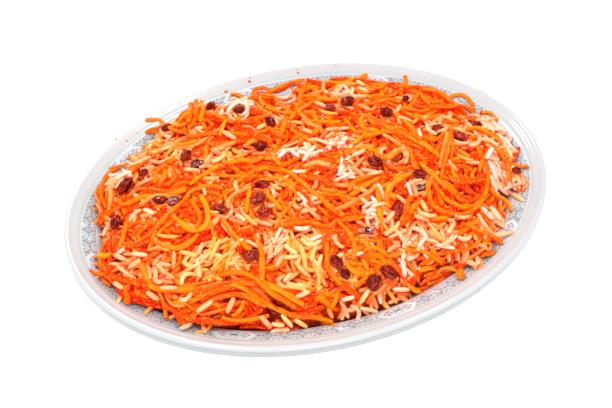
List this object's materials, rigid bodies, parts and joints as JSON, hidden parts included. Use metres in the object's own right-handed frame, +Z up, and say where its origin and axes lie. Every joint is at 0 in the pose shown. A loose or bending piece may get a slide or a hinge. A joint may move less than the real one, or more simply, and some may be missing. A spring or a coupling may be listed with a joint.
{
  "type": "plate of kabuli pulao",
  "caption": "Oval white platter with a printed lattice border, heaped with rice pilaf under a tangle of carrot strips and raisins.",
  "frame": {"origin": "middle of the foot ring's underside, on the surface that the platter stands on", "axes": "+X along the oval platter, +Y across it, +Z up"},
  "size_m": [0.305, 0.242, 0.051],
  "materials": {
    "plate": "glossy white melamine with a printed border",
    "pulao": "moist rice and oily cooked carrot strips",
    "raisin": "wrinkled dark raisin with a soft sheen",
    "carrot": "oily cooked carrot",
    "rice": "moist cooked rice"
  },
  "bodies": {
    "root": {"plate": "plate", "pulao_heap": "pulao", "raisin_01": "raisin", "raisin_02": "raisin", "raisin_03": "raisin", "raisin_04": "raisin", "raisin_05": "raisin", "raisin_06": "raisin", "raisin_07": "raisin", "raisin_08": "raisin", "raisin_09": "raisin", "raisin_10": "raisin", "raisin_11": "raisin", "raisin_12": "raisin", "raisin_13": "raisin", "raisin_14": "raisin", "raisin_15": "raisin", "raisin_16": "raisin", "raisin_17": "raisin", "raisin_18": "raisin", "raisin_19": "raisin", "raisin_20": "raisin", "raisin_21": "raisin", "raisin_22": "raisin", "raisin_23": "raisin", "raisin_24": "raisin", "raisin_25": "raisin", "raisin_26": "raisin", "raisin_27": "raisin", "raisin_28": "raisin", "raisin_29": "raisin", "raisin_30": "raisin", "raisin_31": "raisin", "raisin_32": "raisin", "raisin_33": "raisin", "raisin_34": "raisin", "raisin_35": "raisin", "raisin_36": "raisin", "band_carrot": "carrot", "band_grain": "rice"}
  },
  "joints": []
}
